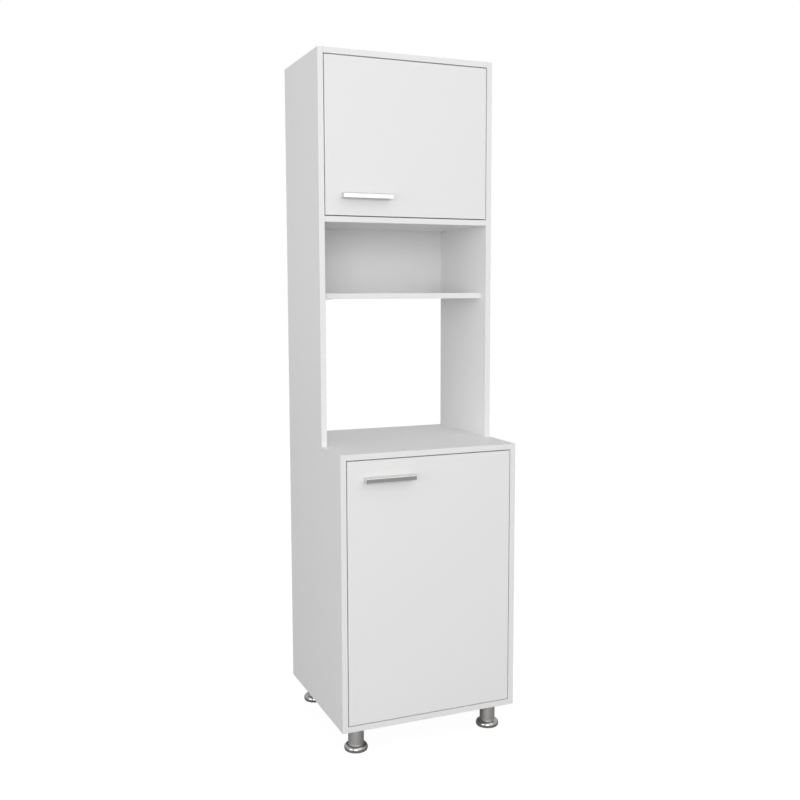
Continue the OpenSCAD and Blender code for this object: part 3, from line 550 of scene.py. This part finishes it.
def threaded_rod(name, low, high, small):
    """A closed rod with a rounded helical thread, in the box from low to high. The thread fades
    out at both ends, where the rod is bevelled."""
    around, per_turn = 40, 8
    radius = (high.x - low.x) / 2
    centre = ((low.x + high.x) / 2, (low.y + high.y) / 2)
    pitch, depth = small.thread_pitch, small.thread_depth
    length = high.z - low.z
    rows = round(length / pitch * per_turn)
    points, faces = [], []
    for row in range(rows + 1):
        z = length * row / rows
        # 0 at the very ends, 1 from one pitch inwards
        grown = min(1, z / pitch, (length - z) / pitch)
        for k in range(around):
            turn = k / around
            phase = (z / pitch - turn) % 1
            cut = 0.5 + 0.5 * math.cos(2 * math.pi * phase)
            r = radius - depth * (cut * grown + 1 - grown)
            angle = 2 * math.pi * turn
            points.append((centre[0] + r * math.cos(angle), centre[1] + r * math.sin(angle),
                           low.z + z))
    for row in range(rows):
        for k in range(around):
            a, b = row * around + k, row * around + (k + 1) % around
            faces.append((a, b, b + around, a + around))
    for row, flip in ((0, True), (rows, False)):
        ring = [row * around + k for k in range(around)]
        points.append((*centre, low.z + length * row / rows))
        hub = len(points) - 1
        for k in range(around):
            a, b = ring[k], ring[(k + 1) % around]
            faces.append((hub, b, a) if flip else (hub, a, b))
    return smooth_object(name, points, faces)


class CABINET_OT_nails(bpy.types.Operator):
    """Nail the backs to the edges of the boards"""

    bl_idname = "cabinet.nails"
    bl_label = "Nails in the backs"

    def execute(self, context):
        metal, small = context.scene.cabinet_metal, context.scene.cabinet_small
        # Wire nails, zinc plated: their heads are stamped, and slightly scuffed by the hammer
        steel = metal_material(
            "Zinc-plated steel, hammered", metal.zinc_plate, rough=0.4, spread=0.1,
            grain=3 * [0.55 * MM], depth=0.008 * MM, cloud=0.08)
        margin, pitch = small.nail_margin, small.nail_pitch
        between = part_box(SIDES[0])[1].x + margin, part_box(SIDES[1])[0].x - margin
        for name in BACKS:
            low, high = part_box(name)
            places = []
            for side in SIDES:
                x = middle(side).x
                places += [(x, high.y, z)
                           for z in spaced(low.z + margin, high.z - margin, pitch)]
            for board in BOARDS_BETWEEN:
                z = middle(board).z
                if low.z < z < high.z:
                    places += [(x, high.y, z) for x in spaced(*between, pitch)]
            nails = turned_along_y(name.replace("panel", "nails"), nail_profile(small), places)
            nails.data.materials.append(steel)
            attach(nails, "case")
        return {"FINISHED"}


def middle(node):
    """The middle of a node's box."""
    low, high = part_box(node)
    return (low + high) / 2


def spaced(start, end, pitch):
    """Evenly spaced values from start to end, at most pitch apart."""
    count = math.ceil((end - start) / pitch)
    return [start + (end - start) * k / count for k in range(count + 1)]


def nail_profile(small):
    """A nail's outline as (radius, distance behind the back), from the crown of its head, which
    stands a little proud of the back, to its point."""
    head, shank = small.nail_head / 2, 1.6 * MM / 2
    crown, edge, rim, neck, tip = 0.1 * MM, 0.15 * MM, 0.4 * MM, 0.9 * MM, 2 * MM
    return [(0, crown), (0.55 * head, 0.8 * crown), (0.9 * head, 0), (head, -edge),
            (head, -rim), (shank, -neck), (shank, tip - small.nail_length),
            (0, -small.nail_length)]


def turned_along_y(name, profile, places, around=24):
    """An object with a closed turned solid at each place, its axis along Y. The profile lists
    (radius, distance along Y) and starts and ends on the axis."""
    points, faces = [], []
    for x, y, z in places:
        first, last = len(points), len(points) + 1
        points += [(x, y + profile[0][1], z), (x, y + profile[-1][1], z)]
        for radius, along in profile[1:-1]:
            for k in range(around):
                angle = 2 * math.pi * k / around
                points.append((x + radius * math.cos(angle), y + along,
                               z + radius * math.sin(angle)))
        ring = first + 2
        for k in range(around):
            after = (k + 1) % around
            faces.append((first, ring + after, ring + k))
            for row in range(len(profile) - 3):
                a = ring + row * around
                faces.append((a + k, a + after, a + around + after, a + around + k))
            end = ring + (len(profile) - 3) * around
            faces.append((last, end + k, end + after))
    return smooth_object(name, points, faces)


def smooth_object(name, points, faces):
    """A new object with smooth shading in the scene."""
    mesh = bpy.data.meshes.new(name)
    mesh.from_pydata(points, [], faces)
    mesh.shade_smooth()
    mesh.update()
    made = bpy.data.objects.new(name, mesh)
    bpy.context.scene.collection.objects.link(made)
    return made


# ------------------------------------------------------------------ studio


SENSOR_WIDTH = 36  # millimetres, as Blender's cameras take it


def softbox(name, place, target, width, height, power):
    """An area light that the camera doesn't see, turned towards target."""
    light = bpy.data.lights.new(name, "AREA")
    light.shape, light.size, light.size_y, light.energy = "RECTANGLE", width, height, power
    box = bpy.data.objects.new(name, light)
    box.location = place
    box.rotation_euler = (Vector(target) - Vector(place)).to_track_quat("-Z", "Y").to_euler()
    box.visible_camera = False
    bpy.context.scene.collection.objects.link(box)


def floor_material(studio):
    """Matt vinyl studio floor. It lights the cabinet as a pale grey floor does, and shows to
    the camera almost white, with what is left of the cabinet's shadow."""
    grain_size, grain_height = 3.3 * MM, 0.1 * MM
    glow, glow_share = 1.2, 0.8  # what the camera sees of a white glow over the floor
    material, tree = empty_material("Vinyl floor, matt")
    place = add(tree, "ShaderNodeTexCoord", {}, {}).outputs["Object"]
    grain = add(tree, "ShaderNodeTexNoise", {"Scale": 1 / grain_size, "Detail": 3.0},
                {"Vector": place}).outputs["Fac"]
    bump = add(tree, "ShaderNodeBump", {"Strength": 0.2, "Distance": grain_height},
               {"Height": grain}).outputs[0]
    pale = add(tree, "ShaderNodeBsdfDiffuse", {"Color": (*studio.floor_grey, 1)},
               {"Normal": bump}).outputs[0]
    bright = add(tree, "ShaderNodeEmission", {"Color": WHITE, "Strength": glow}, {}).outputs[0]
    seen = add(tree, "ShaderNodeMixShader", {0: glow_share}, {1: pale, 2: bright}).outputs[0]
    camera_ray = add(tree, "ShaderNodeLightPath", {}, {}).outputs["Is Camera Ray"]
    both = add(tree, "ShaderNodeMixShader", {}, {0: camera_ray, 1: pale, 2: seen}).outputs[0]
    add(tree, "ShaderNodeOutputMaterial", {}, {"Surface": both})
    return material


class CABINET_OT_studio(bpy.types.Operator):
    """Build the floor, the white surround, the softboxes and the camera"""

    bl_idname = "cabinet.studio"
    bl_label = "Studio"

    def execute(self, context):
        studio, scene = context.scene.cabinet_studio, context.scene
        scene.view_settings.view_transform = "Standard"
        white_surround(scene, studio)
        studio_floor(scene, studio)
        aim = (0, 0, 0.95)
        for name, place, width, height, power in (
                ("Left front softbox", (-2.3, -5.6, 1.6), 3, 3, studio.left_front_box),
                ("Front softbox", (0, -6, 2.4), 3, 2, studio.front_box),
                ("Right softbox", (1.95, -5.6, 2.3), 3, 1.6, studio.right_box),
                ("High softbox", (1.8, -3.2, 4.3), 2.4, 2.4, studio.high_box),
                ("Left softbox", (-5.5, -2, 1.6), 3, 3, studio.left_box)):
            softbox(name, place, aim, width, height, power)
        photo_camera(scene, studio)
        return {"FINISHED"}


def white_surround(scene, studio):
    """A white surround that lights the cabinet less than it shows behind it, as a lit backdrop
    does."""
    scene.world = scene.world or bpy.data.worlds.new("White surround")
    scene.world.use_nodes = True
    tree = scene.world.node_tree
    tree.nodes.clear()
    light, shown = [
        add(tree, "ShaderNodeBackground", {"Color": WHITE, "Strength": strength}, {}).outputs[0]
        for strength in (studio.sky, 1.0)]
    camera_ray = add(tree, "ShaderNodeLightPath", {}, {}).outputs["Is Camera Ray"]
    both = add(tree, "ShaderNodeMixShader", {}, {0: camera_ray, 1: light, 2: shown}).outputs[0]
    add(tree, "ShaderNodeOutputWorld", {}, {"Surface": both})


def studio_floor(scene, studio):
    """A square floor under the feet, which is staging and no piece of the cabinet."""
    half = studio.floor_size / 2
    mesh = bpy.data.meshes.new("floor")
    mesh.from_pydata([(-half, -half, 0), (half, -half, 0), (half, half, 0), (-half, half, 0)],
                     [], [(0, 1, 2, 3)])
    mesh.materials.append(floor_material(studio))
    made = bpy.data.objects.new("floor", mesh)
    scene.collection.objects.link(made)


def photo_camera(scene, studio):
    """A camera at the photograph's place and viewing angle."""
    heading, tilt, roll = studio.camera_turn
    right = Vector((math.cos(heading), -math.sin(heading), 0))
    forward = Vector((math.sin(heading) * math.cos(tilt),
                      math.cos(heading) * math.cos(tilt), math.sin(tilt)))
    up = right.cross(forward)
    turned_right = math.cos(roll) * right + math.sin(roll) * up
    turned_up = math.cos(roll) * up - math.sin(roll) * right
    made = bpy.data.objects.new("Camera", bpy.data.cameras.new("Camera"))
    made.data.lens = studio.focal_length
    made.data.sensor_width = SENSOR_WIDTH
    made.matrix_world = Matrix.Translation(studio.camera_place) @ Matrix(
        (turned_right, turned_up, -forward)).transposed().to_4x4()
    scene.collection.objects.link(made)
    scene.camera = made


# ------------------------------------------------------------------ panel and registration


STEPS = (CABINET_OT_boards, CABINET_OT_backs, CABINET_OT_handles, CABINET_OT_hinges,
         CABINET_OT_connectors, CABINET_OT_legs, CABINET_OT_stems, CABINET_OT_nails,
         CABINET_OT_studio)
GROUPS = {"cabinet_boards": BoardFinish, "cabinet_metal": MetalFinish,
          "cabinet_small": SmallPartFinish, "cabinet_studio": Studio}


class CABINET_PT_sidebar(bpy.types.Panel):
    """Lists the steps that finish the cabinet, and its sizes and colours"""

    bl_idname = "CABINET_PT_sidebar"
    bl_label = "Microwave cabinet"
    bl_space_type = "VIEW_3D"
    bl_region_type = "UI"
    bl_category = "Cabinet"

    def draw(self, context):
        for step in STEPS:
            self.layout.operator(step.bl_idname)
        for group in GROUPS:
            values = getattr(context.scene, group)
            for key in values.__annotations__:
                self.layout.prop(values, key)


CLASSES = (*GROUPS.values(), *STEPS, CABINET_PT_sidebar)


def register():
    """Registers the classes, and gives the scene their sizes and colours."""
    for kind in CLASSES:
        bpy.utils.register_class(kind)
    for name, group in GROUPS.items():
        setattr(bpy.types.Scene, name, bpy.props.PointerProperty(type=group))


def unregister():
    """Takes back what register gave."""
    for name in GROUPS:
        delattr(bpy.types.Scene, name)
    for kind in reversed(CLASSES):
        bpy.utils.unregister_class(kind)


def main():
    register()
    for step in STEPS:
        area, name = step.bl_idname.split(".")
        getattr(getattr(bpy.ops, area), name)()


if __name__ == "__main__":
    main()
